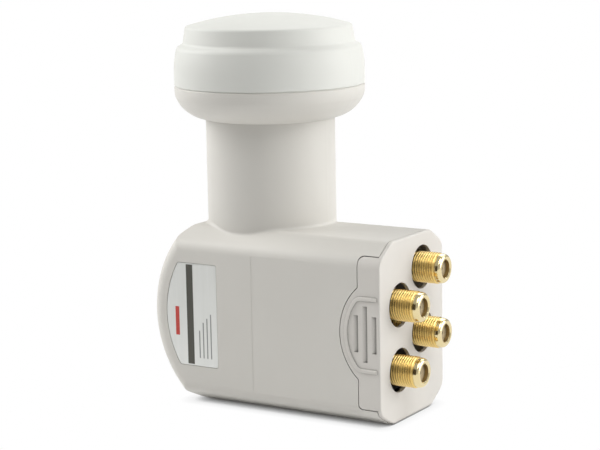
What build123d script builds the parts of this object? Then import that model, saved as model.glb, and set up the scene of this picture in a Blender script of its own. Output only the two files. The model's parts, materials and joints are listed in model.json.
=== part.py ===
"""Satellite LNB with four outputs, a 40 mm neck and a pull-out weather cover.

Millimetres. The neck axis is Z, the base stands on z = 0, the outputs point along +X
and the face with the label looks along -Y.
"""
import os

from build123d import *

# body of the housing
body_length = 79.9
body_width = 39.9
body_height = 55.0
wall = 2.2
facet_y = 7.9
facet_z = 4.8
facet_round = 4.2
end_arc_rise = 11.52
end_arc_lift = 1.0
end_corner_round = 6.0
end_low_round = 12.0
end_edge_round = 4.2
fine_round = 0.3

# neck and flare of the housing
neck_dia = 40.0
neck_length = 32.3
neck_from_end = 29.1
neck_from_back = 14.3
root_round = 1.0
apron_drop = 13.0
flare_height = 10.3
flare_step = 2.2
flare_step_rise = 0.6
bowl_inset = 2.4
bowl_rise = 3.6
rim_land = 2.4
rim_round = 6.0
rim_radius = 29.4
rim_wall = 2.2
rim_seat_height = 3.6
rim_seat_slope = 2.0
rim_seat_step = 1.4
ledge_rise = 1.9
seam_groove = 0.35

# feed cap, from the seam upwards
barrel_height = 7.2
shoulder_height = 4.5
shoulder_inset = 0.9
shoulder_round = 1.6
barrel_round = 20.0
step_height = 1.3
step_inset = 2.0
step_round = 0.8
band_height = 5.1
band_inset = 0.8
band_round = 0.9
dome_height = 3.7
cap_wall = 1.8
spigot_depth = 3.2
spigot_wall = 2.8
spigot_gap = 0.2
seal_section = 1.4

# feed horn
tube_outer = 10.5
tube_wall = 1.75
tube_lip = 9.3
horn_flange = 2.0
ring_wall = 1.3
inner_ring_height = 11.3
outer_ring_height = 13.3
ring_gap = 0.3
horn_gap = 0.2
horn_boss_radius = 2.3
horn_boss_depth = 11.0
horn_screw_inset = 0.4
horn_screw_length = 9.0
horn_screw_count = 3
horn_screw_angle = 90

# small screws
small_screw = 1.0
small_head = 1.9
small_head_height = 1.1
cross_length = 2.2
cross_width = 0.5
cross_depth = 0.7

# chassis
chassis_from_end = 12.85
chassis_from_cover = 9.7
chassis_room = 0.45
chassis_headroom = 0.75
chassis_corner = 4.0
chassis_wall = 3.0
recess_margin = 7.0
recess_round = 2.0
board_drop = 2.7
guide_wall = 2.85
guide_depth = 20.4
guide_flat = 14.0
guide_room = 0.6
guide_room_depth = 9.0
socket_depth = 3.0
rib_thick = 2.0
post_radius = 2.6
post_hole_depth = 6.0
post_inset_left = 3.25
post_inset_right = 11.05
post_inset_z = 2.9

# base screws
base_screw_pitch = 34.0
base_screw_radius = 1.5
base_head_radius = 2.9
base_head_height = 1.7
base_head_room = 0.3
base_boss_radius = 5.0
base_screw_bite = 2.4
base_hole_spare = 0.2
base_cross_length = 3.0
base_cross_width = 0.7
base_cross_depth = 0.9

# board and lid
board_thick = 1.0
board_gap = 0.2
board_screw_length = 5.5
lid_thick = 0.6
lid_inset = 0.3
lid_round = 1.5
lid_screw_pitch = 18.6
lid_screw_length = 1.8
lid_hole_spare = 0.1
pin_length = 1.0
converter_size = 5.0
converter_height = 0.9
converter_spacing = 12.4
converter_drop = 3.0
converter_pin_width = 0.4
switch_size = 7.0
switch_height = 1.0
switch_shift = 7.6
switch_pin_pitch = 1.2
switch_pin_width = 0.5
regulator_width = 6.5
regulator_depth = 5.0
regulator_height = 1.2
regulator_shift = 4.1
regulator_lift = 6.4
regulator_pin_pitch = 2.2
regulator_pin_width = 0.8
crystal_width = 5.0
crystal_depth = 3.2
crystal_height = 1.1
crystal_round = 0.5
crystal_from_left = 6.5
crystal_lift = 10.4

# probes in the waveguide
probe_radius = 0.5
bush_radius = 1.6
bush_shy = 0.2
upper_probe_drop = 8.4
lower_probe_drop = 14.4
probe_reach = 15.0
bent_probe_inset = 1.5
bent_probe_arm = 6.0
bent_probe_round = 1.2

# outputs
output_back_column = 6.35
output_front_column = 7.65
output_top_margin = 10.5
output_low_margin = 15.8
output_top_pitch = 9.0
output_low_pitch = 9.1
output_reach = 8.1
thread_radius = 4.7
collar_radius = 4.4
collar_length = 1.6
collar_round = 1.1
hex_flats = 10.0
hex_thick = 2.6
shank_radius = 3.9
output_bore = 2.7
insulator_drop = 1.5
contact_radius = 0.5
contact_drop = 1.2
gasket_radius = 5.2
gasket_thick = 1.0
tail_setback = 10.0
tail_round = 1.0
tail_from_edge = 2.0
tail_step = 4.0

# weather cover
cover_seam = 0.2
cover_plate = 1.1
cover_gap = 0.25
cover_travel = 25.0
cover_hole = 6.65
cover_edge_round = 0.5
skirt_wall = 1.4
skirt_end = 2.3
skirt_floor_gap = 3.3
flap_depth = 6.2
flap_low = 5.8
flap_top_margin = 3.5
flap_round = 1.4
flap_bond = 0.55
grip_from_end = 6.3
grip_lift = 1.1
grip_radius = 18.6
pad_inset = 2.2
pad_low = 10.9
pad_high = 10.6
pad_round = 3.0
bead_width = 1.2
bead_height = 0.4
bead_round = 0.3
bead_from_face = 1.0
groove_depth = 0.9
groove_width = 1.6
groove_length = 11.0
groove_pitch = 3.05
groove_from_face = 1.2
middle_groove_length = 16.7
peg_from_end = 2.8
peg_radius = 1.6
peg_reach = 0.7
peg_gap = 0.3

# label and bare panel
label_margin = 5.95
label_length = 24.4
label_low = 12.4
label_top_margin = 10.6
label_thick = 0.25
label_pocket = 0.35
label_gap = 0.15
label_round = 0.7
panel_from_label = 12.7
panel_width = 20.0
panel_low = 5.5
panel_top_margin = 6.5
panel_depth = 0.06
panel_round = 0.6

# shared fits
slip = 0.05

# places along the body
body_left = -neck_from_end
body_right = body_left + body_length
half_width = body_width / 2
back_y = neck_from_back
front_y = back_y - body_width
body_mid = back_y - half_width
mid_plane = Plane.XZ.offset(-body_mid)
front_plane = Plane.XZ.offset(-front_y)
back_plane = Plane.XZ.offset(-back_y)
arc_z = body_height / 2 + end_arc_lift
half_chord = body_height - arc_z
end_arc_radius = (half_chord**2 + end_arc_rise**2) / (2 * end_arc_rise)
arc_x = body_left + end_arc_radius

# heights and radii of the neck, flare and cap
neck_radius = neck_dia / 2
neck_bore = neck_radius - wall
root_land = -front_y - neck_radius
root_fillet = min(root_round, root_land / 4)
neck_floor = body_height - wall - guide_room
apron_foot = body_height - apron_drop
apron_top = body_height - 2 * wall
flare_foot = body_height + neck_length
ledge_height = flare_foot + ledge_rise
rim_height = flare_foot + flare_height
rim_bore = rim_radius - rim_wall
barrel_top = rim_height + barrel_height
shoulder_top = barrel_top + shoulder_height
shoulder_radius = rim_radius - shoulder_inset
band_foot = shoulder_top + step_height
band_radius = shoulder_radius - step_inset
dome_edge = band_foot + band_height
dome_radius = band_radius - band_inset
cap_top = dome_edge + dome_height
spigot_radius = rim_bore - spigot_gap
spigot_bore = spigot_radius - spigot_wall

# feed horn
tube_bore = tube_outer - tube_wall
flange_top = ledge_height + horn_flange
horn_screw_circle = neck_bore - horn_screw_inset
inner_ring = horn_screw_circle - small_head - ring_gap - ring_wall
outer_ring = horn_screw_circle + small_head + ring_gap
horn_radius = outer_ring + ring_wall
ledge_radius = horn_radius + horn_gap

# chassis, board and outputs
skirt_depth = wall + cover_gap + skirt_wall
chassis_left = body_left + chassis_from_end
cover_back = body_right + cover_seam
cover_face = cover_back + cover_plate
chassis_right = cover_back - chassis_from_cover
chassis_front = front_y + skirt_depth + chassis_room + lid_thick
chassis_back = back_y - skirt_depth - chassis_room
chassis_low = skirt_depth + chassis_headroom
chassis_top = body_height - skirt_depth - chassis_headroom
chassis_mid = (chassis_left + chassis_right) / 2
recess_left = chassis_left + chassis_wall
recess_right = chassis_right - chassis_wall
recess_low = chassis_low + recess_margin
recess_high = chassis_top - recess_margin
recess_mid = (recess_low + recess_high) / 2
recess_floor = chassis_back - chassis_wall
board_back = chassis_front + board_drop
board_front = -board_back + board_thick
guide_boss = tube_bore + guide_wall
guide_floor = chassis_top - guide_depth
socket_floor = chassis_top - socket_depth
room_left = guide_boss + rib_thick
lid_screw_spread = chassis_right - chassis_left - chassis_wall
post_xs = (recess_left + post_inset_left, recess_right - post_inset_right)
post_zs = (recess_low + post_inset_z, recess_high - post_inset_z)
post_spots = tuple((x, z) for x in post_xs for z in post_zs)
probe_heights = (chassis_top - upper_probe_drop, chassis_top - lower_probe_drop)
probe_spots = tuple((0, height) for height in probe_heights)
converter_height_z = probe_heights[1] - converter_drop
converter_spots = ((-converter_spacing / 2, converter_height_z), (converter_spacing / 2, converter_height_z))
base_screw_spots = tuple((chassis_mid + side * base_screw_pitch / 2, body_mid) for side in (-1, 1))
back_column = body_mid + output_back_column
front_column = body_mid - output_front_column
output_top = body_height - output_top_margin
outputs = (
    (back_column, output_top),
    (front_column, output_top - output_top_pitch),
    (back_column, output_low_margin + output_low_pitch),
    (front_column, output_low_margin),
)
output_tip = cover_face + output_reach
thread_start = chassis_right + hex_thick
tail_x = chassis_right - tail_setback

# weather cover and label
peg_x = body_right - peg_from_end
skirt_left = peg_x - cover_travel - peg_radius - peg_gap - skirt_end
skirt_floor_left = base_screw_spots[1][0] + base_boss_radius + skirt_floor_gap
flap_left = body_right - flap_depth
flap_high = body_height - flap_top_margin
flap_thick = wall + cover_gap + flap_bond
grip_centre = (body_right + grip_from_end, body_height / 2 + grip_lift)
bead_right = cover_face - bead_from_face
groove_right = cover_face - groove_from_face
grooves = (
    (groove_right - 2 * groove_pitch, groove_length),
    (groove_right - groove_pitch, middle_groove_length),
    (groove_right, groove_length),
)
label_arc = end_arc_radius - label_margin
label_right = body_left + label_length
label_height = body_height - label_top_margin - label_low
panel_left = label_right + panel_from_label


def draw_section(inset, low=0.0):
    """Eight-sided section with soft corners, seen along X."""
    with BuildLine() as border:
        Polyline(
            (front_y + facet_y, low),
            (back_y - facet_y, low),
            (back_y, facet_z),
            (back_y, body_height - facet_z),
            (back_y - facet_y, body_height),
            (front_y + facet_y, body_height),
            (front_y, body_height - facet_z),
            (front_y, facet_z),
            close=True,
        )
    make_face(border.edges())
    if inset:
        offset(amount=-inset, mode=Mode.REPLACE)
    fillet(vertices(), max(facet_round - inset, fine_round))


def draw_outline(inset, right):
    """Side outline with a round left end, seen along Y."""
    with Locations((arc_x, arc_z)):
        Circle(end_arc_radius - inset)
    with Locations((arc_x, arc_z)):
        Rectangle(right - arc_x, 2 * body_height, align=(Align.MIN, Align.CENTER))
    with Locations((right, inset)):
        Rectangle(
            right - body_left,
            body_height - 2 * inset,
            align=(Align.MAX, Align.MIN),
            mode=Mode.INTERSECT,
        )
    left_corners = vertices().sort_by(Axis.X)[:2].sort_by(Axis.Y)
    fillet(left_corners[0], max(end_low_round - inset, fine_round))
    fillet(left_corners[1], max(end_corner_round - inset, fine_round))


def draw_flap(inset):
    """Outline of the cover's flap and of the notch that takes it."""
    with Locations((flap_left + inset, flap_low + inset)):
        Rectangle(
            body_length,
            flap_high - flap_low - 2 * inset,
            align=(Align.MIN, Align.MIN),
        )
    fillet(vertices().group_by(Axis.X)[0], flap_round)
    with Locations(grip_centre):
        Circle(grip_radius - inset)


def draw_pad(grow, right):
    """Outline of the thumb pad on the flap, grown on its round and level sides."""
    with Locations(grip_centre):
        Circle(grip_radius - pad_inset + grow)
    with Locations((right, grip_centre[1] - pad_low - grow)):
        Rectangle(
            2 * grip_radius,
            pad_low + pad_high + 2 * grow,
            align=(Align.MAX, Align.MIN),
            mode=Mode.INTERSECT,
        )
    fillet(vertices().sort_by(Axis.X)[:2], pad_round + grow)


def draw_label(gap):
    """Outline of the label and of its pocket: straight on three sides, arched on the left."""
    with Locations((arc_x, arc_z)):
        Circle(label_arc + gap)
    with Locations((label_right + gap, label_low - gap)):
        Rectangle(
            label_length,
            label_height + 2 * gap,
            align=(Align.MAX, Align.MIN),
            mode=Mode.INTERSECT,
        )
    fillet(vertices(), label_round)


def on_root(edge):
    """True for an edge where the neck's outer surface meets the body."""
    points = [edge @ t for t in (0.1, 0.5, 0.9)]
    on_surface = all(abs((p.X**2 + p.Y**2) ** 0.5 - neck_radius) < slip for p in points)
    return on_surface and apron_foot < edge.center().Z < body_height + root_round


# space inside the housing
with BuildPart() as body_space:
    with BuildSketch(mid_plane):
        draw_outline(wall, body_right + wall)
    extrude(amount=half_width, both=True)
    with BuildSketch(Plane.YZ.offset(body_left)):
        draw_section(wall)
    extrude(amount=2 * body_length, mode=Mode.INTERSECT)

# disc with a soft rim, which rounds the edges of the arched end
with BuildPart() as end_form:
    with BuildSketch(Plane.XY.offset(arc_z)):
        with Locations((body_left, body_mid)):
            Rectangle(end_arc_radius, body_width, align=(Align.MIN, Align.CENTER))
        fillet(vertices().group_by(Axis.X)[0], end_edge_round)
    revolve(axis=Axis((arc_x, 0, arc_z), (0, 1, 0)))
    with BuildSketch(Plane.YZ.offset(arc_x - end_arc_radius / 2)):
        with Locations((body_mid, arc_z)):
            Rectangle(body_width, 2 * body_height)
    extrude(amount=2 * body_length)

# housing: body, clamp neck and flare in one moulding
with BuildPart() as main_housing:
    with BuildSketch(mid_plane):
        draw_outline(0, body_right)
    extrude(amount=half_width, both=True)
    with BuildSketch(Plane.YZ.offset(body_left)):
        draw_section(0)
    extrude(amount=2 * body_length, mode=Mode.INTERSECT)
    add(end_form.part, mode=Mode.INTERSECT)
    with BuildSketch(Plane.XZ):
        with BuildLine():
            foot = Polyline(
                (0, apron_foot),
                (neck_radius, apron_foot),
                (neck_radius, flare_foot),
                (neck_radius + flare_step, flare_foot + flare_step_rise),
            )
            bowl = ThreePointArc(
                foot @ 1,
                (rim_radius - bowl_inset, flare_foot + bowl_rise),
                (rim_radius, rim_height - rim_land),
            )
            Polyline(
                bowl @ 1,
                (rim_radius, rim_height - seam_groove),
                (rim_radius - seam_groove, rim_height),
                (0, rim_height),
                foot @ 0,
            )
        make_face()
        fillet(vertices().filter_by(lambda v: abs(v.Y - rim_height + rim_land) < slip), rim_round)
    revolve(axis=Axis.Z)
    # sloping underside of the neck where it stands out behind the body
    with BuildSketch(Plane.YZ):
        with BuildLine():
            Polyline(
                (back_y, apron_foot - wall),
                (back_y, apron_foot),
                (neck_radius, apron_top),
                (neck_dia, apron_top),
                (neck_dia, apron_foot - wall),
                close=True,
            )
        make_face()
    extrude(amount=neck_dia, both=True, mode=Mode.SUBTRACT)
    fillet(edges().filter_by(on_root), root_fillet)
    add(body_space.part, mode=Mode.SUBTRACT)
    with BuildSketch(Plane.XZ):
        with BuildLine():
            Polyline(
                (0, neck_floor),
                (neck_bore, neck_floor),
                (neck_bore, ledge_height),
                (ledge_radius, ledge_height),
                (rim_bore - rim_seat_step, rim_height - rim_seat_height - rim_seat_slope),
                (rim_bore, rim_height - rim_seat_height),
                (rim_bore, rim_height),
                (0, rim_height),
                close=True,
            )
        make_face()
    revolve(axis=Axis.Z, mode=Mode.SUBTRACT)
    # room for the waveguide under the neck
    with BuildSketch(Plane.XY.offset(neck_floor)):
        Circle(guide_boss + guide_room)
    extrude(amount=-guide_room_depth, mode=Mode.SUBTRACT)
    # bosses for the screws that hold the feed horn
    with BuildSketch(Plane.XY.offset(ledge_height)):
        with PolarLocations(horn_screw_circle, horn_screw_count, start_angle=horn_screw_angle):
            Circle(horn_boss_radius)
    extrude(amount=-horn_boss_depth)
    with BuildSketch(Plane.XY.offset(ledge_height)):
        with PolarLocations(horn_screw_circle, horn_screw_count, start_angle=horn_screw_angle):
            Circle(small_screw)
    extrude(amount=-horn_boss_depth, mode=Mode.SUBTRACT)
    # seats and countersinks for the two base screws
    with BuildSketch(Plane.XY.offset(chassis_low)):
        with Locations(*base_screw_spots):
            Circle(base_boss_radius)
    extrude(amount=wall - chassis_low)
    with BuildSketch(Plane.XY):
        with Locations(*base_screw_spots):
            Circle(base_head_radius + base_head_room)
    extrude(amount=wall, mode=Mode.SUBTRACT)
    with BuildSketch(Plane.XY):
        with Locations(*base_screw_spots):
            Circle(base_screw_radius + slip)
    extrude(amount=chassis_low, mode=Mode.SUBTRACT)
    # notches for the cover's flaps, front and back
    with BuildSketch(front_plane):
        draw_flap(0)
    extrude(amount=-flap_thick - cover_gap, mode=Mode.SUBTRACT)
    with BuildSketch(back_plane):
        draw_flap(0)
    extrude(amount=flap_thick + cover_gap, mode=Mode.SUBTRACT)
    # peg that stops the cover at the end of its travel
    with BuildSketch(Plane.XY.offset(body_height - wall)):
        with Locations((peg_x, body_mid)):
            Circle(peg_radius)
    extrude(amount=-cover_gap - skirt_wall - peg_reach)
    # pocket for the label and a shallow bare panel
    with BuildSketch(front_plane):
        draw_label(label_gap)
    extrude(amount=-label_pocket, mode=Mode.SUBTRACT)
    with BuildSketch(front_plane):
        with Locations((panel_left, panel_low)):
            Rectangle(
                panel_width,
                body_height - panel_top_margin - panel_low,
                align=(Align.MIN, Align.MIN),
            )
        fillet(vertices(), panel_round)
    extrude(amount=-panel_depth, mode=Mode.SUBTRACT)

# feed cap with a spigot that carries the seal ring
with BuildPart() as feed_cap:
    with BuildSketch(Plane.XZ):
        with BuildLine():
            dome = TangentArc((0, cap_top), (dome_radius, dome_edge), tangent=(1, 0))
            Polyline(
                dome @ 1,
                (band_radius, band_foot),
                (shoulder_radius, shoulder_top),
                (rim_radius, barrel_top),
                (rim_radius, rim_height + seam_groove),
                (rim_radius - seam_groove, rim_height),
                (spigot_radius, rim_height),
                (spigot_radius, rim_height - spigot_depth),
                (spigot_bore, rim_height - spigot_depth),
                (spigot_bore, rim_height),
                (rim_radius - cap_wall, rim_height + cap_wall),
                (rim_radius - cap_wall, barrel_top),
                (shoulder_radius - cap_wall, shoulder_top - cap_wall),
                (band_radius - cap_wall, band_foot - cap_wall),
                (dome_radius - cap_wall, dome_edge - cap_wall),
            )
            TangentArc(
                (0, cap_top - cap_wall),
                (dome_radius - cap_wall, dome_edge - cap_wall),
                tangent=(1, 0),
            )
            Line((0, cap_top - cap_wall), (0, cap_top))
        make_face()
        fillet(vertices().filter_by(lambda v: abs(v.Y - dome_edge) < slip), band_round)
        fillet(vertices().filter_by(lambda v: abs(v.Y - shoulder_top) < slip), shoulder_round)
        fillet(vertices().filter_by(lambda v: abs(v.Y - barrel_top) < slip).sort_by(Axis.X)[-1], barrel_round)
        fillet(vertices().filter_by(lambda v: abs(v.Y - band_foot) < slip), step_round)
        with Locations((spigot_radius, rim_height - spigot_depth / 2)):
            Rectangle(
                seal_section - spigot_gap,
                seal_section,
                align=(Align.MAX, Align.CENTER),
                mode=Mode.SUBTRACT,
            )
    revolve(axis=Axis.Z)

with BuildPart() as cap_seal_ring:
    with BuildSketch(Plane.XZ):
        with Locations((rim_bore, rim_height - spigot_depth / 2)):
            Rectangle(seal_section, seal_section, align=(Align.MAX, Align.CENTER))
    revolve(axis=Axis.Z)

# feed horn: waveguide tube with a flange and two scalar rings
with BuildPart() as feed_horn:
    with BuildSketch(Plane.XZ):
        with Locations((tube_bore, socket_floor)):
            Rectangle(tube_wall, ledge_height + tube_lip - socket_floor, align=(Align.MIN, Align.MIN))
        with Locations((tube_bore, ledge_height)):
            Rectangle(horn_radius - tube_bore, horn_flange, align=(Align.MIN, Align.MIN))
        with Locations((inner_ring, ledge_height)):
            Rectangle(ring_wall, inner_ring_height, align=(Align.MIN, Align.MIN))
        with Locations((outer_ring, ledge_height)):
            Rectangle(ring_wall, outer_ring_height, align=(Align.MIN, Align.MIN))
    revolve(axis=Axis.Z)
    with BuildSketch(Plane.XY.offset(ledge_height)):
        with PolarLocations(horn_screw_circle, horn_screw_count, start_angle=horn_screw_angle):
            Circle(small_screw + slip)
    extrude(amount=horn_flange, mode=Mode.SUBTRACT)

with BuildPart() as horn_screws:
    with BuildSketch(Plane.XY.offset(flange_top)):
        with PolarLocations(horn_screw_circle, horn_screw_count, start_angle=horn_screw_angle):
            Circle(small_head)
    extrude(amount=small_head_height)
    with BuildSketch(Plane.XY.offset(flange_top)):
        with PolarLocations(horn_screw_circle, horn_screw_count, start_angle=horn_screw_angle):
            Circle(small_screw)
    extrude(amount=-horn_screw_length)
    with BuildSketch(Plane.XY.offset(flange_top + small_head_height)):
        with PolarLocations(horn_screw_circle, horn_screw_count, start_angle=horn_screw_angle):
            Rectangle(cross_length, cross_width)
            Rectangle(cross_width, cross_length)
    extrude(amount=-cross_depth, mode=Mode.SUBTRACT)

# die-cast chassis: box open to the front, with the end of the waveguide and the output wall
with BuildPart() as chassis:
    with BuildSketch(Plane.YZ.offset(chassis_left)):
        with Locations((chassis_front, chassis_low)):
            Rectangle(
                chassis_back - chassis_front,
                chassis_top - chassis_low,
                align=(Align.MIN, Align.MIN),
            )
        chamfer(vertices(), chassis_corner)
    extrude(amount=chassis_right - chassis_left)
    with BuildSketch(Plane.XZ.offset(-chassis_front)):
        with Locations((recess_left, recess_low)):
            Rectangle(
                recess_right - recess_left,
                recess_high - recess_low,
                align=(Align.MIN, Align.MIN),
            )
        fillet(vertices(), recess_round)
    extrude(amount=chassis_front - recess_floor, mode=Mode.SUBTRACT)
    # deeper room behind the outputs
    with BuildSketch(Plane.XZ.offset(-board_back)):
        with Locations((room_left, chassis_low + chassis_wall)):
            Rectangle(
                recess_right - room_left,
                chassis_top - chassis_low - 2 * chassis_wall,
                align=(Align.MIN, Align.MIN),
            )
        fillet(vertices(), recess_round)
    extrude(amount=board_back - recess_floor, mode=Mode.SUBTRACT)
    # waveguide boss with a flat for the board
    with BuildSketch(Plane.XY.offset(guide_floor - chassis_wall)):
        Circle(guide_boss)
        with Locations((0, board_back)):
            Rectangle(guide_flat, -board_back, align=(Align.CENTER, Align.MIN))
    extrude(amount=chassis_top - guide_floor + chassis_wall)
    with BuildSketch(Plane.XY.offset(chassis_top)):
        Circle(tube_outer + slip)
    extrude(amount=-socket_depth, mode=Mode.SUBTRACT)
    with BuildSketch(Plane.XY.offset(chassis_top)):
        Circle(tube_bore)
    extrude(amount=-guide_depth, mode=Mode.SUBTRACT)
    # posts under the board corners, and a rib down the middle
    with BuildSketch(Plane.XZ.offset(-board_back)):
        with Locations(*post_spots):
            Circle(post_radius)
    extrude(amount=board_back - recess_floor - slip)
    with BuildSketch(Plane.XZ.offset(-board_back)):
        with Locations(*post_spots):
            Circle(small_screw)
    extrude(amount=-post_hole_depth, mode=Mode.SUBTRACT)
    with BuildSketch(Plane.XZ.offset(-board_back)):
        with Locations((0, recess_low)):
            Rectangle(rib_thick, guide_floor - recess_low, align=(Align.CENTER, Align.MIN))
    extrude(amount=board_back - recess_floor - slip)
    # probe passages
    with BuildSketch(Plane.XZ.offset(-board_back)):
        with Locations(*probe_spots):
            Circle(bush_radius)
    extrude(amount=board_back, mode=Mode.SUBTRACT)
    # output holes with gasket counterbores
    with BuildSketch(Plane.YZ.offset(chassis_right)):
        with Locations(*outputs):
            Circle(shank_radius + slip)
    extrude(amount=-chassis_wall, mode=Mode.SUBTRACT)
    with BuildSketch(Plane.YZ.offset(chassis_right)):
        with Locations(*outputs):
            Circle(gasket_radius)
    extrude(amount=-gasket_thick, mode=Mode.SUBTRACT)
    # lid screws and base screws
    with BuildSketch(Plane.XZ.offset(-chassis_front)):
        with Locations((chassis_mid, recess_mid)):
            with GridLocations(lid_screw_spread, lid_screw_pitch, 2, 2):
                Circle(small_screw)
    extrude(amount=-lid_screw_length - lid_hole_spare, mode=Mode.SUBTRACT)
    with BuildSketch(Plane.XY.offset(chassis_low)):
        with Locations(*base_screw_spots):
            Circle(base_screw_radius)
    extrude(amount=base_screw_bite + base_hole_spare, mode=Mode.SUBTRACT)

with BuildPart() as base_screws:
    with BuildSketch(Plane.XY.offset(wall)):
        with Locations(*base_screw_spots):
            Circle(base_head_radius)
    extrude(amount=-base_head_height)
    with BuildSketch(Plane.XY.offset(wall)):
        with Locations(*base_screw_spots):
            Circle(base_screw_radius)
    extrude(amount=chassis_low - wall + base_screw_bite)
    with BuildSketch(Plane.XY.offset(wall - base_head_height)):
        with Locations(*base_screw_spots):
            Rectangle(base_cross_length, base_cross_width)
            Rectangle(base_cross_width, base_cross_length)
    extrude(amount=base_cross_depth, mode=Mode.SUBTRACT)

# circuit board and what it carries
with BuildPart() as circuit_board:
    with BuildSketch(Plane.XZ.offset(-board_back)):
        with Locations((chassis_mid, recess_mid)):
            Rectangle(
                recess_right - recess_left - 2 * board_gap,
                recess_high - recess_low - 2 * board_gap,
            )
        fillet(vertices(), recess_round)
        with Locations(*post_spots):
            Circle(small_screw + slip, mode=Mode.SUBTRACT)
        with Locations(*probe_spots):
            Circle(probe_radius, mode=Mode.SUBTRACT)
    extrude(amount=board_thick)

with BuildPart() as converter_chips:
    with BuildSketch(Plane.XZ.offset(board_front)):
        with Locations(*converter_spots):
            Rectangle(converter_size, converter_size)
        with Locations(*converter_spots):
            with GridLocations(converter_size + pin_length, converter_size / 5, 2, 4):
                Rectangle(pin_length, converter_pin_width)
    extrude(amount=converter_height)

with BuildPart() as switch_chip:
    with BuildSketch(Plane.XZ.offset(board_front)):
        with Locations((chassis_mid + switch_shift, recess_mid)):
            Rectangle(switch_size, switch_size)
            with GridLocations(switch_size + pin_length, switch_pin_pitch, 2, 5):
                Rectangle(pin_length, switch_pin_width)
            with GridLocations(switch_pin_pitch, switch_size + pin_length, 5, 2):
                Rectangle(switch_pin_width, pin_length)
    extrude(amount=switch_height)

with BuildPart() as voltage_regulator:
    with BuildSketch(Plane.XZ.offset(board_front)):
        with Locations((chassis_mid + regulator_shift, recess_low + regulator_lift)):
            Rectangle(regulator_width, regulator_depth)
            with Locations((0, -(regulator_depth + pin_length) / 2)):
                with GridLocations(regulator_pin_pitch, pin_length, 3, 1):
                    Rectangle(regulator_pin_width, pin_length)
    extrude(amount=regulator_height)

with BuildPart() as reference_crystal:
    with BuildSketch(Plane.XZ.offset(board_front)):
        with Locations((recess_left + crystal_from_left, recess_low + crystal_lift)):
            Rectangle(crystal_width, crystal_depth)
        fillet(vertices(), crystal_round)
    extrude(amount=crystal_height)

with BuildPart() as board_screws:
    with BuildSketch(Plane.XZ.offset(board_front)):
        with Locations(*post_spots):
            Circle(small_head)
    extrude(amount=small_head_height)
    with BuildSketch(Plane.XZ.offset(board_front)):
        with Locations(*post_spots):
            Circle(small_screw)
    extrude(amount=-board_screw_length)

with BuildPart() as probe_bushes:
    with BuildSketch(Plane.XZ.offset(-board_back)):
        with Locations(*probe_spots):
            Circle(bush_radius)
        with Locations(*probe_spots):
            Circle(probe_radius, mode=Mode.SUBTRACT)
    extrude(amount=board_back + tube_bore + bush_shy)

with BuildPart() as probe_straight:
    with BuildSketch(Plane.XZ.offset(board_front)):
        with Locations(probe_spots[0]):
            Circle(probe_radius)
    extrude(amount=-board_thick - probe_reach)

with BuildPart() as probe_bent:
    with BuildLine() as bent_path:
        FilletPolyline(
            (0, -board_front, probe_heights[1]),
            (0, -bent_probe_inset, probe_heights[1]),
            (bent_probe_arm, -bent_probe_inset, probe_heights[1]),
            radius=bent_probe_round,
        )
    with BuildSketch(Plane.XZ.offset(board_front)):
        with Locations(probe_spots[1]):
            Circle(probe_radius)
    sweep(path=bent_path.line)

# shield lid over the board
with BuildPart() as shield_lid:
    with BuildSketch(Plane.XZ.offset(-chassis_front)):
        with Locations((chassis_mid, recess_mid)):
            Rectangle(
                chassis_right - chassis_left,
                chassis_top - chassis_low - 2 * (chassis_corner + lid_inset),
            )
        fillet(vertices(), lid_round)
        with Locations((chassis_mid, recess_mid)):
            with GridLocations(lid_screw_spread, lid_screw_pitch, 2, 2):
                Circle(small_head + slip, mode=Mode.SUBTRACT)
    extrude(amount=lid_thick)

with BuildPart() as lid_screws:
    with BuildSketch(Plane.XZ.offset(-chassis_front)):
        with Locations((chassis_mid, recess_mid)):
            with GridLocations(lid_screw_spread, lid_screw_pitch, 2, 2):
                Circle(small_head)
    extrude(amount=lid_thick)
    with BuildSketch(Plane.XZ.offset(-chassis_front)):
        with Locations((chassis_mid, recess_mid)):
            with GridLocations(lid_screw_spread, lid_screw_pitch, 2, 2):
                Circle(small_screw)
    extrude(amount=-lid_screw_length)


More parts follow.
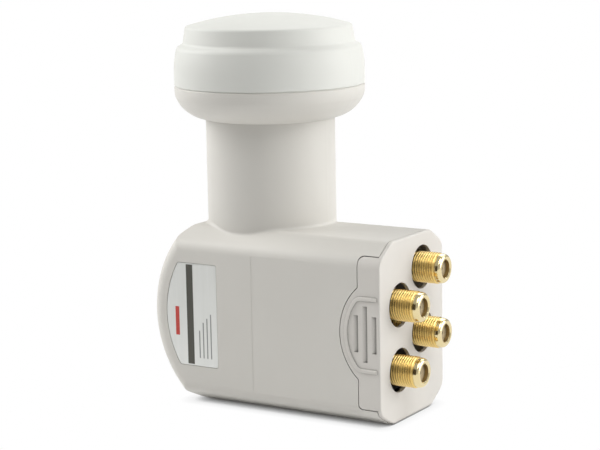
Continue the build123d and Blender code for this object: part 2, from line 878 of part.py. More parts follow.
def build_output(y, z):
    """One threaded output with its insulator, contact and gasket."""
    face = Plane.YZ.offset(chassis_right)
    back_x = chassis_right - chassis_wall
    insulator_face = output_tip - insulator_drop
    contact_face = insulator_face - contact_drop
    with BuildPart() as body:
        with BuildSketch(face):
            with Locations((y, z)):
                RegularPolygon(hex_flats / 2, 6, major_radius=False)
        extrude(amount=hex_thick)
        with BuildSketch(Plane.YZ.offset(back_x)):
            with Locations((y, z)):
                Circle(shank_radius)
        extrude(amount=chassis_wall)
        with BuildSketch(Plane.YZ.offset(thread_start)):
            with Locations((y, z)):
                Circle(thread_radius)
        extrude(amount=output_tip - collar_length - thread_start)
        with BuildSketch(Plane.YZ.offset(output_tip - collar_length)):
            with Locations((y, z)):
                Circle(collar_radius)
        extrude(amount=collar_length)
        fillet(edges().group_by(Axis.X)[-1], collar_round)
        with BuildSketch(Plane.YZ.offset(output_tip)):
            with Locations((y, z)):
                Circle(output_bore)
        extrude(amount=back_x - output_tip, mode=Mode.SUBTRACT)
    with BuildPart() as insulator:
        with BuildSketch(Plane.YZ.offset(insulator_face)):
            with Locations((y, z)):
                Circle(output_bore)
            with Locations((y, z)):
                Circle(contact_radius, mode=Mode.SUBTRACT)
        extrude(amount=back_x - insulator_face)
    tail_points = [(contact_face, y, z), (tail_x, y, z), (tail_x, board_back, z)]
    if z > recess_high - tail_from_edge:
        board_z = recess_high - tail_from_edge
        tail_points[2:] = [(tail_x, board_back + tail_step, board_z), (tail_x, board_back, board_z)]
    with BuildPart() as contact:
        with BuildLine() as tail:
            FilletPolyline(*tail_points, radius=tail_round)
        with BuildSketch(Plane.YZ.offset(contact_face)):
            with Locations((y, z)):
                Circle(contact_radius)
        sweep(path=tail.line)
    with BuildPart() as gasket:
        with BuildSketch(face):
            with Locations((y, z)):
                Circle(gasket_radius)
            with Locations((y, z)):
                Circle(shank_radius, mode=Mode.SUBTRACT)
        extrude(amount=-gasket_thick)
    return body.part, insulator.part, contact.part, gasket.part


# weather cover: end plate, skirt inside the housing and a grip flap on each side
with BuildPart() as weather_cover:
    with BuildSketch(Plane.YZ.offset(cover_back)):
        draw_section(0, cover_gap)
    extrude(amount=cover_plate)
    fillet(faces().sort_by(Axis.X)[-1].edges(), cover_edge_round)
    with BuildSketch(Plane.YZ.offset(cover_back)):
        draw_section(wall + cover_gap)
    extrude(amount=skirt_left - cover_back)
    with BuildSketch(Plane.YZ.offset(cover_back)):
        draw_section(skirt_depth)
    extrude(amount=skirt_left - cover_back, mode=Mode.SUBTRACT)
    # the skirt's floor stops short of the screw bosses
    with BuildSketch(mid_plane):
        with Locations((skirt_floor_left, 0)):
            Rectangle(body_length, 2 * (facet_z + peg_gap), align=(Align.MAX, Align.CENTER))
    extrude(amount=half_width, both=True, mode=Mode.SUBTRACT)
    with BuildSketch(Plane.XY.offset(body_height - wall)):
        with Locations((peg_x - cover_travel / 2, body_mid)):
            SlotCenterToCenter(cover_travel, 2 * (peg_radius + peg_gap))
    extrude(amount=-skirt_depth, mode=Mode.SUBTRACT)
    for inward, face_plane in ((-1, front_plane), (1, back_plane)):
        with BuildSketch(face_plane):
            draw_flap(cover_gap)
            with Locations((cover_back + cover_plate / 2, 0)):
                Rectangle(body_length, 3 * body_height, align=(Align.MAX, Align.CENTER), mode=Mode.INTERSECT)
        extrude(amount=inward * flap_thick)
    with BuildSketch(Plane.YZ.offset(cover_face)):
        draw_section(0, cover_gap)
    extrude(amount=-2 * body_length, mode=Mode.INTERSECT)
    with BuildSketch(Plane.YZ.offset(cover_face)):
        with Locations(*outputs):
            Circle(cover_hole)
    extrude(amount=-cover_plate, mode=Mode.SUBTRACT)
    # raised bead round the thumb pad and grooves that deepen towards the end plate
    for inward, face_plane, face_y, outwards in (
        (-1, front_plane, front_y, -Axis.Y),
        (1, back_plane, back_y, Axis.Y),
    ):
        with BuildSketch(face_plane):
            draw_pad(bead_width / 2, bead_right)
        extrude(amount=-inward * bead_height)
        with BuildSketch(face_plane):
            draw_pad(-bead_width / 2, cover_face)
        extrude(amount=-inward * bead_height, mode=Mode.SUBTRACT)
        fillet(faces().sort_by(outwards)[-1].edges(), bead_round)
        for right, length in grooves:
            with BuildSketch(Plane.XY.offset(grip_centre[1] - length / 2)):
                with BuildLine() as wedge:
                    Polyline(
                        (right - groove_width, face_y),
                        (right, face_y),
                        (right, face_y - inward * groove_depth),
                        close=True,
                    )
                make_face(wedge.edges())
            extrude(amount=length, mode=Mode.SUBTRACT)

# label in its pocket
with BuildPart() as rating_label:
    with BuildSketch(front_plane.offset(-label_pocket)):
        draw_label(0)
    extrude(amount=label_thick)

pieces = {
    "main_housing": main_housing.part,
    "feed_cap": feed_cap.part,
    "cap_seal_ring": cap_seal_ring.part,
    "feed_horn": feed_horn.part,
    "horn_screws": horn_screws.part,
    "chassis": chassis.part,
    "base_screws": base_screws.part,
    "circuit_board": circuit_board.part,
    "converter_chips": converter_chips.part,
    "switch_chip": switch_chip.part,
    "voltage_regulator": voltage_regulator.part,
    "reference_crystal": reference_crystal.part,
    "board_screws": board_screws.part,
    "probe_bushes": probe_bushes.part,
    "probe_straight": probe_straight.part,
    "probe_bent": probe_bent.part,
    "shield_lid": shield_lid.part,
    "lid_screws": lid_screws.part,
    "weather_cover": weather_cover.part,
    "rating_label": rating_label.part,
}
for number, (y, z) in enumerate(outputs, start=1):
    body, insulator, contact, gasket = build_output(y, z)
    pieces[f"output_body_{number}"] = body
    pieces[f"output_insulator_{number}"] = insulator
    pieces[f"output_contact_{number}"] = contact
    pieces[f"output_gasket_{number}"] = gasket

os.makedirs("parts", exist_ok=True)
for name, piece in pieces.items():
    piece.label = name
    export_step(piece, f"parts/{name}.step")
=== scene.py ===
import json
import math

import bmesh
import bpy
from mathutils import Matrix, Vector


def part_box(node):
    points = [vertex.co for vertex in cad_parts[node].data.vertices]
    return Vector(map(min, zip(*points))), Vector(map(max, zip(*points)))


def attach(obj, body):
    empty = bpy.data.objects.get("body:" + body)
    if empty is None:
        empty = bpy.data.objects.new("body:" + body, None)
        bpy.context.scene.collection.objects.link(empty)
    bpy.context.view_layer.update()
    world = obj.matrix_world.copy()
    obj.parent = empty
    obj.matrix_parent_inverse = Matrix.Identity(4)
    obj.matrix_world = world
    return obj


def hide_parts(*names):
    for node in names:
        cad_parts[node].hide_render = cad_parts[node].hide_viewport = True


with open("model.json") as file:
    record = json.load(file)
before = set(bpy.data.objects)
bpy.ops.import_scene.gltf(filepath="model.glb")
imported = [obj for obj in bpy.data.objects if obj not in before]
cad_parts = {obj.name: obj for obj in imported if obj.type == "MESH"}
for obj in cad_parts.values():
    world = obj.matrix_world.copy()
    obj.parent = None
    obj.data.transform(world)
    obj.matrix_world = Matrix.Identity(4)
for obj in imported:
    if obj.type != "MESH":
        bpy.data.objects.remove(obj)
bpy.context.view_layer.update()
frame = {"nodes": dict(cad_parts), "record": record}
nodes = frame["nodes"]
print("frame loaded:", len(nodes), "nodes")


# small helpers for node trees

def newMaterial(name):
    material = bpy.data.materials.new(name)
    material.use_nodes = True
    tree = material.node_tree
    return material, tree, tree.nodes["Principled BSDF"]


def addNode(tree, kind, **settings):
    node = tree.nodes.new(kind)
    for key, value in settings.items():
        setattr(node, key, value)
    return node


def partCoords(tree):
    return addNode(tree, "ShaderNodeTexCoord").outputs["Object"]


def addNoise(tree, scale, detail=2.0, stretch=(1, 1, 1)):
    mapping = addNode(tree, "ShaderNodeMapping")
    mapping.inputs["Scale"].default_value = stretch
    tree.links.new(partCoords(tree), mapping.inputs["Vector"])
    noise = addNode(tree, "ShaderNodeTexNoise")
    noise.inputs["Scale"].default_value = scale
    noise.inputs["Detail"].default_value = detail
    tree.links.new(mapping.outputs["Vector"], noise.inputs["Vector"])
    return noise.outputs["Fac"]


def mapRange(tree, value, low, high, fromLow=0.3, fromHigh=0.7):  # noise lies mostly in that range
    node = addNode(tree, "ShaderNodeMapRange")
    node.inputs["From Min"].default_value = fromLow
    node.inputs["From Max"].default_value = fromHigh
    node.inputs["To Min"].default_value = low
    node.inputs["To Max"].default_value = high
    tree.links.new(value, node.inputs["Value"])
    return node.outputs["Result"]


def mixColours(tree, factor, first, second):
    node = addNode(tree, "ShaderNodeMix", data_type="RGBA")
    node.inputs["A"].default_value = (*first, 1)
    node.inputs["B"].default_value = (*second, 1)
    tree.links.new(factor, node.inputs["Factor"])
    return node.outputs["Result"]


def largerOf(tree, first, second):
    node = addNode(tree, "ShaderNodeMath", operation="MAXIMUM")
    tree.links.new(first, node.inputs[0])
    tree.links.new(second, node.inputs[1])
    return node.outputs[0]


def addBump(tree, shader, height, strength, distance):
    bump = addNode(tree, "ShaderNodeBump")
    bump.inputs["Strength"].default_value = strength
    bump.inputs["Distance"].default_value = distance
    tree.links.new(height, bump.inputs["Height"])
    tree.links.new(bump.outputs["Normal"], shader.inputs["Normal"])


def unevenGloss(tree, shader, noise, roughness, spread):
    rough = mapRange(tree, noise, roughness - spread, roughness + spread)
    tree.links.new(rough, shader.inputs["Roughness"])


def shade(colour, amount):
    return tuple(channel * amount for channel in colour)


# painted shade: colour darkened by ambient occlusion in seams, grooves and threads, and on the outputs near
# the plate

creviceShadePaint = {"reach": 0.0016, "depth": 0.85, "start": 0.35, "end": 0.8}
gripShadePaint = {"reach": 0.0016, "depth": 0.15, "start": 0.2, "end": 0.92}
threadShade = {"reach": 0.0005, "depth": 0.85, "start": 0.45, "end": 0.95}
# painted shadow of the plate and its holes on the outputs' barrels
rootShade = {"reach": 0.007, "depth": 0.3, "start": 0.3, "end": 0.72}
creviceShadeSamples = 8


def paintCreviceShade(tree, tone, look):
    occlusion = addNode(tree, "ShaderNodeAmbientOcclusion", samples=creviceShadeSamples)
    occlusion.inputs["Distance"].default_value = look["reach"]
    # painted shade: the colour is darkened where little open space is around the surface
    dust = mapRange(tree, occlusion.outputs["AO"], look["depth"], 1.0, look["start"], look["end"])
    multiply = addNode(tree, "ShaderNodeMix", data_type="RGBA", blend_type="MULTIPLY")
    multiply.inputs["Factor"].default_value = 1.0
    tree.links.new(tone, multiply.inputs["A"])
    tree.links.new(dust, multiply.inputs["B"])
    return multiply.outputs["Result"]


# moulded plastics: a cloudy tone, a fine spark grain and uneven gloss

mouldedLook = {
    "cloudScale": 45, "glossScale": 320, "glossSpread": 0.06, "grainDepth": 0.00006, "specular": 0.4,
}
housingFinish = {
    "colour": (0.640, 0.622, 0.578), "cloud": 0.03, "roughness": 0.5, "grain": 0.12, "grainScale": 2600,
}
coverFinish = {
    "colour": (0.645, 0.620, 0.578), "cloud": 0.03, "roughness": 0.5, "grain": 0.12, "grainScale": 2600,
}
capFinish = {
    "colour": (0.672, 0.676, 0.636), "cloud": 0.02, "roughness": 0.55, "grain": 0.08, "grainScale": 3200,
}
bushFinish = {
    "colour": (0.80, 0.80, 0.77), "cloud": 0.02, "roughness": 0.5, "grain": 0.05, "grainScale": 3000,
}
insulatorFinish = {
    "colour": (0.38, 0.31, 0.19), "cloud": 0.15, "roughness": 0.45, "grain": 0.1, "grainScale": 3000,
}
chipFinish = {
    "colour": (0.025, 0.025, 0.027), "cloud": 0.2, "roughness": 0.55, "grain": 0.15, "grainScale": 4000,
}


def makeMoulded(name, finish, look=creviceShadePaint):
    material, tree, shader = newMaterial(name)
    cloud = addNoise(tree, mouldedLook["cloudScale"], detail=3)
    dark = shade(finish["colour"], 1 - finish["cloud"])
    light = shade(finish["colour"], 1 + finish["cloud"])
    tone = mixColours(tree, cloud, dark, light)
    tree.links.new(paintCreviceShade(tree, tone, look), shader.inputs["Base Color"])
    gloss = addNoise(tree, mouldedLook["glossScale"])
    unevenGloss(tree, shader, gloss, finish["roughness"], mouldedLook["glossSpread"])
    grain = addNoise(tree, finish["grainScale"], detail=1)
    addBump(tree, shader, grain, finish["grain"], mouldedLook["grainDepth"])
    shader.inputs["Specular IOR Level"].default_value = mouldedLook["specular"]
    return material


# metals: two tones, uneven gloss and a faint grain

metalLook = {"toneScale": 220, "glossSpread": 0.07, "grainDepth": 0.00003, "coatRoughness": 0.2}
goldFinish = {"deep": (0.74, 0.50, 0.14), "bright": (0.86, 0.63, 0.22), "roughness": 0.27, "coat": 0.5}
collarFinish = {"deep": (0.765, 0.625, 0.325), "bright": (0.845, 0.73, 0.45), "roughness": 0.15, "coat": 0.2}
# painted shade: the bore's wall is dark brown for the shade deep inside the bore
boreShadeFinish = {"deep": (0.35, 0.25, 0.105), "bright": (0.47, 0.345, 0.16), "roughness": 0.45}
castFinish = {"deep": (0.42, 0.42, 0.43), "bright": (0.60, 0.60, 0.61), "roughness": 0.48}
zincFinish = {"deep": (0.50, 0.50, 0.50), "bright": (0.68, 0.68, 0.67), "roughness": 0.3}
tinFinish = {"deep": (0.60, 0.60, 0.61), "bright": (0.74, 0.74, 0.74), "roughness": 0.3}
brassFinish = {"deep": (0.55, 0.40, 0.16), "bright": (0.76, 0.58, 0.28), "roughness": 0.28}


def makeMetal(name, finish, grainScale=900, grain=0.05, stretch=(1, 1, 1), shadeLooks=()):
    material, tree, shader = newMaterial(name)
    shader.inputs["Metallic"].default_value = 1.0
    cloud = addNoise(tree, metalLook["toneScale"], detail=3, stretch=stretch)
    tone = mixColours(tree, cloud, finish["deep"], finish["bright"])
    for look in shadeLooks:
        tone = paintCreviceShade(tree, tone, look)
    tree.links.new(tone, shader.inputs["Base Color"])
    gloss = addNoise(tree, grainScale, stretch=stretch)
    unevenGloss(tree, shader, gloss, finish["roughness"], metalLook["glossSpread"])
    addBump(tree, shader, gloss, grain, metalLook["grainDepth"])
    shader.inputs["Coat Weight"].default_value = finish.get("coat", 0.0)
    shader.inputs["Coat Roughness"].default_value = metalLook["coatRoughness"]
    return material


# rubber of the seals

rubberFinish = {
    "dark": (0.018, 0.018, 0.018), "light": (0.035, 0.035, 0.034), "roughness": 0.75,
    "dustScale": 500, "grain": 0.15, "grainDepth": 0.00005,
}


def makeRubber():
    material, tree, shader = newMaterial("sealRubber")
    dust = addNoise(tree, rubberFinish["dustScale"], detail=4)
    tone = mixColours(tree, dust, rubberFinish["dark"], rubberFinish["light"])
    tree.links.new(tone, shader.inputs["Base Color"])
    shader.inputs["Roughness"].default_value = rubberFinish["roughness"]
    addBump(tree, shader, dust, rubberFinish["grain"], rubberFinish["grainDepth"])
    return material


# laminate of the circuit board

boardFinish = {
    "mask": (0.015, 0.16, 0.06), "trace": (0.03, 0.24, 0.10), "roughness": 0.35,
    "weaveScale": 420, "weaveGap": 0.03, "grain": 0.1, "grainDepth": 0.00003,
}


def makeBoard():
    material, tree, shader = newMaterial("boardLaminate")
    weave = addNode(tree, "ShaderNodeTexBrick")
    weave.inputs["Scale"].default_value = boardFinish["weaveScale"]
    weave.inputs["Mortar Size"].default_value = boardFinish["weaveGap"]
    tree.links.new(partCoords(tree), weave.inputs["Vector"])
    tone = mixColours(tree, weave.outputs["Fac"], boardFinish["mask"], boardFinish["trace"])
    tree.links.new(tone, shader.inputs["Base Color"])
    shader.inputs["Roughness"].default_value = boardFinish["roughness"]
    addBump(tree, shader, weave.outputs["Fac"], boardFinish["grain"], boardFinish["grainDepth"])
    return material


# silver film and inks of the label

labelFinish = {
    "dark": (0.78, 0.79, 0.755), "light": (0.87, 0.88, 0.855), "metallic": 0.15, "roughness": (0.30, 0.39),
    "streakScale": 700, "streakStretch": (1, 1, 0.06), "grain": 0.05, "grainDepth": 0.00002,
}
inkLook = {"speckScale": 1800, "dark": 0.9, "light": 1.12, "roughness": 0.45}
inkColours = {
    "darkInk": (0.085, 0.082, 0.068),
    "redInk": (0.55, 0.06, 0.045),
    "greyInk": (0.30, 0.30, 0.29),
}


def makeLabelFilm():
    material, tree, shader = newMaterial("labelFilm")
    streak = addNoise(tree, labelFinish["streakScale"], detail=3, stretch=labelFinish["streakStretch"])
    tone = mixColours(tree, streak, labelFinish["dark"], labelFinish["light"])
    tree.links.new(tone, shader.inputs["Base Color"])
    shader.inputs["Metallic"].default_value = labelFinish["metallic"]
    tree.links.new(mapRange(tree, streak, *labelFinish["roughness"]), shader.inputs["Roughness"])
    addBump(tree, shader, streak, labelFinish["grain"], labelFinish["grainDepth"])
    return material


def makeInk(name, colour):
    material, tree, shader = newMaterial(name)
    speck = addNoise(tree, inkLook["speckScale"])
    tone = mixColours(tree, speck, shade(colour, inkLook["dark"]), shade(colour, inkLook["light"]))
    tree.links.new(tone, shader.inputs["Base Color"])
    shader.inputs["Roughness"].default_value = inkLook["roughness"]
    return material


goldPlate = makeMetal("goldPlate", goldFinish, stretch=(1, 0.3, 0.3), shadeLooks=(threadShade, rootShade))
outputCollar = makeMetal("outputCollar", collarFinish, grain=0.02)
boreShadePaint = makeMetal("boreShadePaint", boreShadeFinish)
coverPlastic = makeMoulded("coverPlastic", coverFinish, gripShadePaint)
slotMaterials = {
    "housing_plastic": makeMoulded("housingPlastic", housingFinish),
    "cap_plastic": makeMoulded("capPlastic", capFinish),
    "bush_plastic": makeMoulded("bushPlastic", bushFinish),
    "insulator_plastic": makeMoulded("insulatorPlastic", insulatorFinish),
    "chip_plastic": makeMoulded("chipPlastic", chipFinish),
    "gold_plate": goldPlate,
    "cast_metal": makeMetal("castMetal", castFinish, grainScale=1500, grain=0.25),
    "screw_steel": makeMetal("screwSteel", zincFinish),
    "lid_metal": makeMetal("lidMetal", tinFinish, stretch=(0.05, 1, 1)),
    "contact_metal": makeMetal("contactMetal", brassFinish),
    "seal_rubber": makeRubber(),
    "board_laminate": makeBoard(),
    "label_film": makeLabelFilm(),
}
inks = [makeInk(name, colour) for name, colour in inkColours.items()]
print("materials made for", len(slotMaterials), "slots and", len(inks), "inks")

for entry in frame["record"]["subparts"]:
    node = nodes[entry["node"]]
    node.data.materials.clear()
    node.data.materials.append(slotMaterials[entry["material_slot"]])
nodes["weather_cover"].data.materials[0] = coverPlastic  # its grooves get darker painted shade than the housing's seams
print("node finishes set")


# pieces built here

def addPiece(name, mesh, body):
    piece = bpy.data.objects.new(name, mesh)
    bpy.context.scene.collection.objects.link(piece)
    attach(piece, body)
    return piece


def finishMesh(bm, name, finishes):
    mesh = bpy.data.meshes.new(name)
    bm.to_mesh(mesh)
    bm.free()
    for finish in finishes:
        mesh.materials.append(finish)
    return mesh


def bridgeRows(bm, first, second):
    # faces between two closed rows of points
    faces = []
    for step in range(len(first)):
        after = (step + 1) % len(first)
        faces.append(bm.faces.new((first[step], first[after], second[after], second[step])))
    return faces


# threaded outputs, turned from hexagon bar, in metres and degrees

thread = {
    "pitch": 0.000794,
    "depth": 0.00036,
    "crest": 0.0047,
    "runout": 0.0005,
    "rowsPerTurn": 16,
    "segments": 88,
    "sharpAngle": 38,
}
collar = {
    "length": 0.0018,
    "radius": 0.0045,
    "taper": 10,
    "shoulder": 0.0004,  # step down from the thread's crest
    "fall": 0.0001,
    "waist": 0.0042,
    "waistLength": 0.0002,
    "rise": 0.00015,
    "tipRound": 0.0010,
    "roundSteps": 8,
    "lip": 0.0003,
}
bar = {
    "hexSides": 6,
    "hexFlats": 0.0100,
    "hexLength": 0.0026,
    "chamfer": 0.0003,
    "shank": 0.0039,
    "shankLength": 0.0030,
    "bore": 0.0027,
    "flatArea": 1e-6,  # larger faces stay flat
}


def threadWave(phase):
    # rolled thread, 0 at the root and 1 at the crest
    return 0.5 + 0.5 * math.cos(2 * math.pi * phase)


def threadRows(start, end):
    # rows of place along the axis and radius, which falls to the root at both ends
    rowCount = round((end - start) / thread["pitch"] * thread["rowsPerTurn"])
    rows = []
    for row in range(rowCount + 1):
        x = start + (end - start) * row / rowCount
        fade = max(0.0, min(1.0, (x - start) / thread["runout"], (end - x) / thread["runout"]))
        places = []
        for step in range(thread["segments"]):
            wave = threadWave((x - start) / thread["pitch"] - step / thread["segments"])
            places.append((x, thread["crest"] - thread["depth"] * (1 - wave * fade)))
        rows.append(places)
    return rows


def turnedProfile(back, tip):
    # pairs of place along the axis and radius, from the thread over the tip and back down the bore
    waistStart = tip - collar["length"]
    waistEnd = waistStart + collar["waistLength"]
    profile = [
        (waistStart, thread["crest"] - collar["shoulder"]),
        (waistStart + collar["fall"], collar["waist"]),
        (waistEnd, collar["waist"]),
        (waistEnd + collar["rise"], collar["radius"]),
    ]
    # a slight taper, then a round edge
    taper = math.radians(collar["taper"])
    tipRound = collar["tipRound"]
    roundStart = tip - tipRound * (1 - math.sin(taper))
    edge = collar["radius"] - (roundStart - profile[-1][0]) * math.tan(taper)
    for step in range(collar["roundSteps"] + 1):
        angle = taper + (math.pi / 2 - taper) * step / collar["roundSteps"]
        profile.append((tip - tipRound * (1 - math.sin(angle)),
                        edge - tipRound * (math.cos(taper) - math.cos(angle))))
    hexStart = back + bar["shankLength"]
    profile += [
        (tip, bar["bore"] + collar["lip"]),
        (tip - collar["lip"], bar["bore"]),
        (back, bar["bore"]),
        (back, bar["shank"]),
        (hexStart, bar["shank"]),
        (hexStart, thread["crest"] - thread["depth"]),
    ]
    return profile


def addRing(bm, centre, places):
    # closed row of points round the output's axis
    centreY, centreZ = centre
    ring = []
    for step, (x, radius) in enumerate(places):
        angle = 2 * math.pi * step / len(places)
        ring.append(bm.verts.new((x, centreY + radius * math.cos(angle), centreZ + radius * math.sin(angle))))
    return ring


def addHexagon(bm, start, end, centre):
    # hexagon with a turned chamfer on the outer side
    sides = bar["hexSides"]
    chamfer = bar["chamfer"]
    corner = bar["hexFlats"] / 2 / math.cos(math.pi / sides)
    profile = [(start, corner), (end - chamfer, corner), (end, corner - 2 * chamfer)]
    rings = [addRing(bm, centre, [place] * sides) for place in profile]
    for first, second in zip(rings, rings[1:]):
        bridgeRows(bm, first, second)
    bm.faces.new(rings[0])
    bm.faces.new(rings[-1])


def makeOutput(number):
    node = f"output_body_{number}"
    low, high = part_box(node)
    centre = ((low.y + high.y) / 2, (low.z + high.z) / 2)
    hexStart = low.x + bar["shankLength"]
    hexEnd = hexStart + bar["hexLength"]
    threaded = threadRows(hexEnd, high.x - collar["length"])
    turned = [[place] * thread["segments"] for place in turnedProfile(low.x, high.x)]
    bm = bmesh.new()
    rings = [addRing(bm, centre, places) for places in threaded + turned]
    boreRow = len(rings) - 5  # the bore's wall starts at the fifth ring from the last
    for row, (first, second) in enumerate(zip(rings, rings[1:] + rings[:1])):
        for face in bridgeRows(bm, first, second):
            if row >= len(threaded):
                # the bore's wall gets the painted-shade finish (2) and the collar the polished one (1)
                face.material_index = 2 if row == boreRow else 1
    addHexagon(bm, hexStart, hexEnd, centre)
    bmesh.ops.recalc_face_normals(bm, faces=bm.faces)
    for face in bm.faces:
        face.smooth = len(face.verts) == 4 and face.calc_area() < bar["flatArea"]
    mesh = finishMesh(bm, f"threadedOutput{number}", (goldPlate, outputCollar, boreShadePaint))
    mesh.set_sharp_from_angle(angle=math.radians(thread["sharpAngle"]))
    piece = addPiece(f"threadedOutput{number}", mesh, "housing")
    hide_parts(node)


outputCount = sum(name.startswith("output_body_") for name in nodes)
for number in range(1, outputCount + 1):
    makeOutput(number)
print("threaded outputs made:", outputCount)


# plain printed fields on the label, placed from its right and lower edges

labelPrint = {
    "thickness": 0.00002,
    "edge": 0.0004,  # bare film above and below the band
    "band": (-0.0110, -0.0086),  # left and right
    "red": (-0.0153, -0.0139, 0.0091, 0.0181),  # left, right, bottom and top
    "ruleLeft": -0.0067,
    "ruleStep": 0.0014,
    "ruleWidth": 0.0004,
    "ruleBottom": 0.0026,
    "ruleTops": (0.0112, 0.0138, 0.0152, 0.0166),
}


def addSlab(bm, left, right, bottom, top, surface, inkIndex):
    corners = [(left, bottom), (right, bottom), (right, top), (left, top)]
    back = [bm.verts.new((x, surface, z)) for x, z in corners]
    front = [bm.verts.new((x, surface - labelPrint["thickness"], z)) for x, z in corners]
    faces = [bm.faces.new(back), bm.faces.new(front)] + bridgeRows(bm, back, front)
    for face in faces:
        face.material_index = inkIndex


def makeLabelPrint():
    low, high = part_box("rating_label")
    bm = bmesh.new()
    left, right = labelPrint["band"]
    edge = labelPrint["edge"]
    addSlab(bm, high.x + left, high.x + right, low.z + edge, high.z - edge, low.y, 0)
    left, right, bottom, top = labelPrint["red"]
    addSlab(bm, high.x + left, high.x + right, low.z + bottom, low.z + top, low.y, 1)
    for count, top in enumerate(labelPrint["ruleTops"]):
        left = high.x + labelPrint["ruleLeft"] + count * labelPrint["ruleStep"]
        bottom = low.z + labelPrint["ruleBottom"]
        addSlab(bm, left, left + labelPrint["ruleWidth"], bottom, low.z + top, low.y, 2)
    bmesh.ops.recalc_face_normals(bm, faces=bm.faces)
    addPiece("labelPrint", finishMesh(bm, "labelPrint", inks), "housing")


makeLabelPrint()
print("label print made")


# floor, white to the eye, with a short soft painted shadow where the part stands on it

floorLook = {
    "size": 12.0,
    "bounce": 0.88,
    "drop": 0.00005,
    "shadowReach": 0.0045,
    "shadowSamples": 16,
    "darkest": (0.04, (0.07, 0.07, 0.065)),  # openness and tone
    "between": ((0.2, (0.4, 0.4, 0.4)), (0.42, (0.87, 0.87, 0.87))),
    "lightest": (0.95, (1, 1, 1)),
}


def makeFloor():
    bpy.ops.mesh.primitive_plane_add(size=floorLook["size"], location=(0, 0, -floorLook["drop"]))
    floor = bpy.context.object
    floor.name = "floor"
    material = bpy.data.materials.new("paleFloor")
    material.use_nodes = True
    tree = material.node_tree
    tree.nodes.clear()
    output = addNode(tree, "ShaderNodeOutputMaterial")
    bounce = addNode(tree, "ShaderNodeBsdfDiffuse")
    bounce.inputs["Color"].default_value = (*[floorLook["bounce"]] * 3, 1)
    # painted shadow: the floor's seen tone darkens by ambient occlusion near the part
    occlusion = addNode(tree, "ShaderNodeAmbientOcclusion", samples=floorLook["shadowSamples"])
    occlusion.inputs["Distance"].default_value = floorLook["shadowReach"]
    ramp = addNode(tree, "ShaderNodeValToRGB")
    stops = ramp.color_ramp.elements
    for stop, (position, tone) in zip(stops, (floorLook["darkest"], floorLook["lightest"])):
        stop.position = position
        stop.color = (*tone, 1)
    for position, tone in floorLook["between"]:
        stops.new(position).color = (*tone, 1)
    tree.links.new(occlusion.outputs["AO"], ramp.inputs["Fac"])
    seen = addNode(tree, "ShaderNodeEmission")
    tree.links.new(ramp.outputs["Color"], seen.inputs["Color"])
    path = addNode(tree, "ShaderNodeLightPath")
    direct = largerOf(tree, path.outputs["Is Camera Ray"], path.outputs["Is Glossy Ray"])
    mix = addNode(tree, "ShaderNodeMixShader")
    tree.links.new(largerOf(tree, direct, path.outputs["Is Transmission Ray"]), mix.inputs["Fac"])
    tree.links.new(bounce.outputs[0], mix.inputs[1])
    tree.links.new(seen.outputs[0], mix.inputs[2])
    tree.links.new(mix.outputs[0], output.inputs["Surface"])
    floor.data.materials.append(material)


makeFloor()


# dark brown card low in front of the part, seen only in reflections

cardLook = {
    "place": (-0.005, -0.155, 0.04),
    "width": 0.24,
    "height": 0.2,
    "turn": -31,
    "colour": (0.03, 0.018, 0.004),
    "roughness": 0.9,
}


def makeCard():
    bpy.ops.mesh.primitive_plane_add(size=1, location=cardLook["place"])
    card = bpy.context.object
    card.name = "darkCard"
    card.scale = (cardLook["width"], cardLook["height"], 1)
    card.rotation_euler = (math.pi / 2, 0, math.radians(cardLook["turn"]))
    material, _, shader = newMaterial("cardBrown")
    shader.inputs["Base Color"].default_value = (*cardLook["colour"], 1)
    shader.inputs["Roughness"].default_value = cardLook["roughness"]
    card.data.materials.append(material)
    card.visible_camera = False
    card.visible_diffuse = False
    card.visible_shadow = False
    card.visible_transmission = False


makeCard()


# camera at the photograph's angle

cameraPlace = {
    "azimuth": 31.527,
    "elevation": 9.927,
    "roll": -1.071,
    "distance": 0.573181,
    "target": (0.00726, 0.00449, 0.05314),
    "lens": 109.97,
    "sensorWidth": 36.0,
    "clipStart": 0.01,
}


def directionTo(azimuth, elevation):
    # azimuth 0 faces the label, 90 the outputs
    turn = math.radians(azimuth)
    rise = math.radians(elevation)
    return Vector((math.sin(turn) * math.cos(rise), -math.cos(turn) * math.cos(rise), math.sin(rise)))


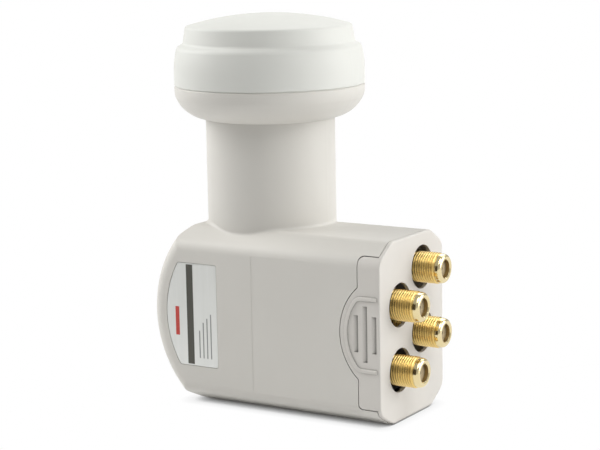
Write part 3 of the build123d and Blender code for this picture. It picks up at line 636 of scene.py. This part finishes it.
def makeCamera():
    back = directionTo(cameraPlace["azimuth"], cameraPlace["elevation"])
    right = (-back).cross(Vector((0, 0, 1))).normalized()
    up = right.cross(-back)
    roll = math.radians(cameraPlace["roll"])
    rolledRight = right * math.cos(roll) + up * math.sin(roll)
    rolledUp = up * math.cos(roll) - right * math.sin(roll)
    data = bpy.data.cameras.new("camera")
    data.lens = cameraPlace["lens"]
    data.sensor_width = cameraPlace["sensorWidth"]
    data.sensor_fit = "HORIZONTAL"
    data.clip_start = cameraPlace["clipStart"]
    camera = bpy.data.objects.new("camera", data)
    bpy.context.scene.collection.objects.link(camera)
    turn = Matrix((rolledRight, rolledUp, back)).transposed().to_4x4()
    place = Vector(cameraPlace["target"]) + back * cameraPlace["distance"]
    camera.matrix_world = Matrix.Translation(place) @ turn
    bpy.context.scene.camera = camera


makeCamera()


# soft boxes left and right, weaker ones high in front and behind, and an even surround that is brighter in
# reflections than in its light (painted reflection)

lampLook = {"distance": 1.0, "size": 0.7}
lamps = {
    "left": {"azimuth": -77.5, "elevation": 33, "power": 10.4},
    "right": {"azimuth": 119.5, "elevation": 16, "power": 7.1},
    "front": {"azimuth": 60.0, "elevation": 55, "power": 4.8},
    "back": {"azimuth": 180.0, "elevation": 45, "power": 3.1},
}
surround = {"level": 0.06, "glossy": 0.5}


def makeLamps():
    for name, lamp in lamps.items():
        away = directionTo(lamp["azimuth"], lamp["elevation"])
        data = bpy.data.lights.new(name, "AREA")
        data.shape = "SQUARE"
        data.size = lampLook["size"]
        data.energy = lamp["power"]
        light = bpy.data.objects.new(name + "Lamp", data)
        light.location = Vector(cameraPlace["target"]) + away * lampLook["distance"]
        light.rotation_euler = away.to_track_quat("Z", "Y").to_euler()
        bpy.context.scene.collection.objects.link(light)


def makeSurround():
    world = bpy.data.worlds.new("surround")
    world.use_nodes = True
    tree = world.node_tree
    background = tree.nodes["Background"]
    background.inputs["Color"].default_value = (1, 1, 1, 1)
    path = addNode(tree, "ShaderNodeLightPath")
    # painted reflection: the surround shows much brighter in reflections than the light it casts
    reflectionOnlyGlow = mapRange(tree, path.outputs["Is Glossy Ray"], surround["level"], surround["glossy"], 0.0, 1.0)
    # white where the camera looks past the floor
    strength = largerOf(tree, reflectionOnlyGlow, path.outputs["Is Camera Ray"])
    tree.links.new(strength, background.inputs["Strength"])
    bpy.context.scene.world = world


makeLamps()
makeSurround()
bpy.context.scene.view_settings.view_transform = "Standard"
print("floor, camera and lamps set")
